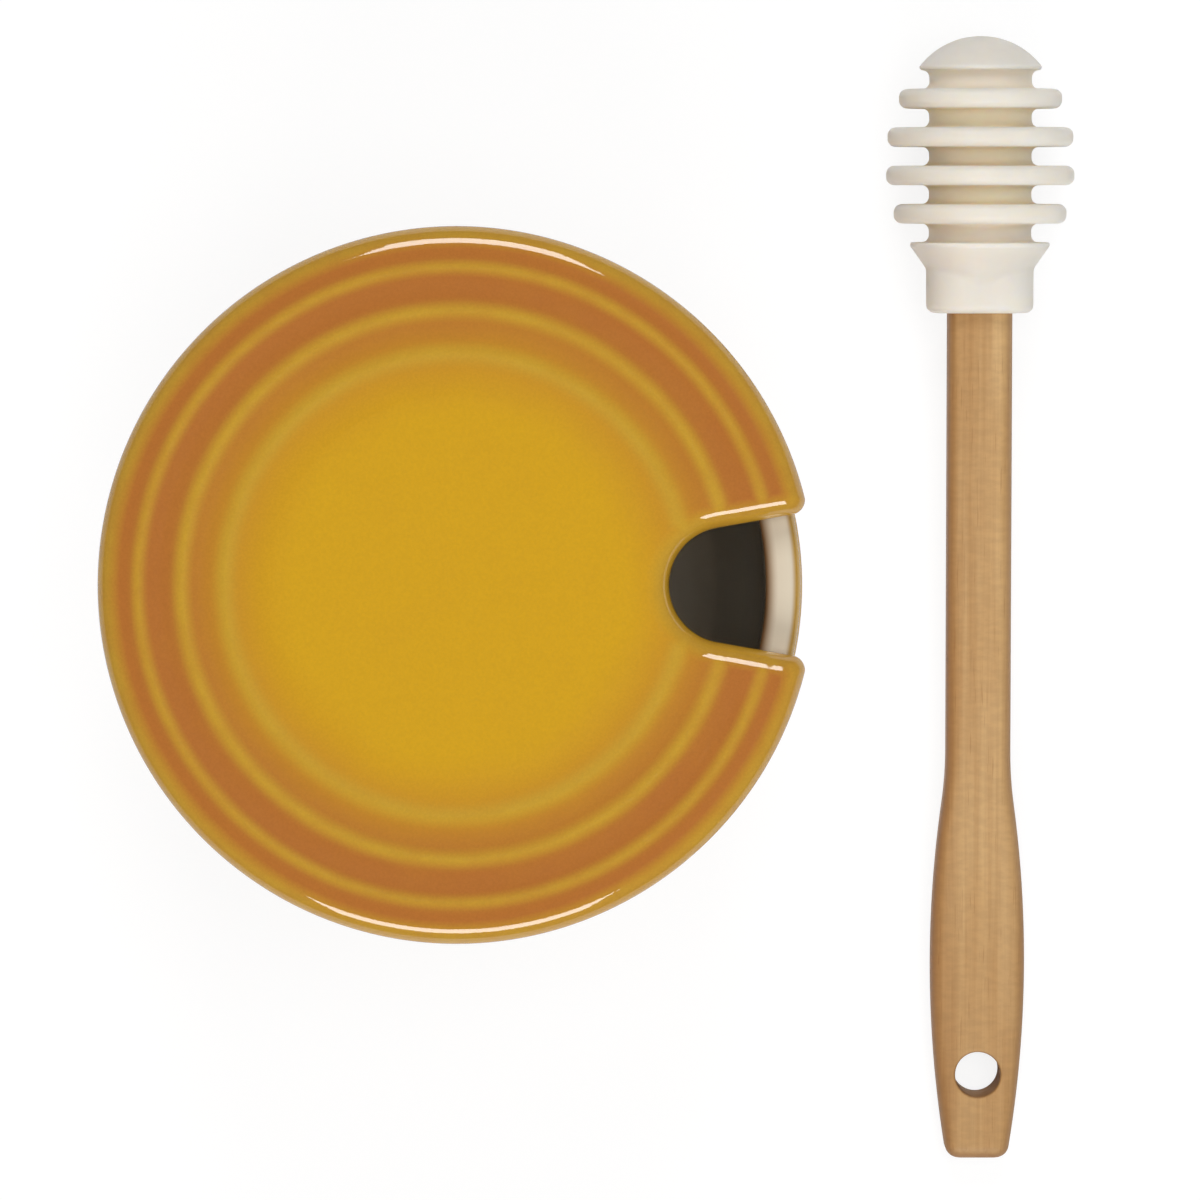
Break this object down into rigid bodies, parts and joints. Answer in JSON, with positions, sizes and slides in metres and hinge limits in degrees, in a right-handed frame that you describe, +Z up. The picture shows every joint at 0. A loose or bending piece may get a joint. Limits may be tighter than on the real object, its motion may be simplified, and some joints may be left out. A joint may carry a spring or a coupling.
{
  "type": "honey pot with dipper",
  "caption": "Fluted stoneware honey pot with a ringed lift-off lid, notched at the edge for a dipper, and a wooden dipper with a pull-off ribbed silicone head lying beside it.",
  "frame": {"origin": "centre of the pot's foot ring, on the surface that the pot and the dipper stand on", "axes": "+Z up along the pot's axis, +X from the pot through the lid's notch to the dipper, +Y towards the dipper's head"},
  "size_m": [0.1525, 0.1826, 0.091],
  "materials": {
    "pot_glaze": "gloss",
    "lid_glaze": "gloss",
    "silicone": "matte",
    "wood": "satin"
  },
  "bodies": {
    "pot": {"pot": "pot_glaze"},
    "lid": {"lid": "lid_glaze"},
    "handle": {"dipper_handle": "wood"},
    "head": {"dipper_head": "silicone"}
  },
  "joints": [
    {"name": "lid_lift", "type": "slide", "parent": "pot", "child": "lid", "axis": [0, 0, 1], "range_m": [0, 0.1]},
    {"name": "dipper_lift", "type": "slide", "parent": "pot", "child": "handle", "axis": [0, 0, 1], "range_m": [0, 0.12]},
    {"name": "head_pull", "type": "slide", "parent": "handle", "child": "head", "axis": [0, 0.9976, 0.0695], "range_m": [0, 0.04]}
  ]
}
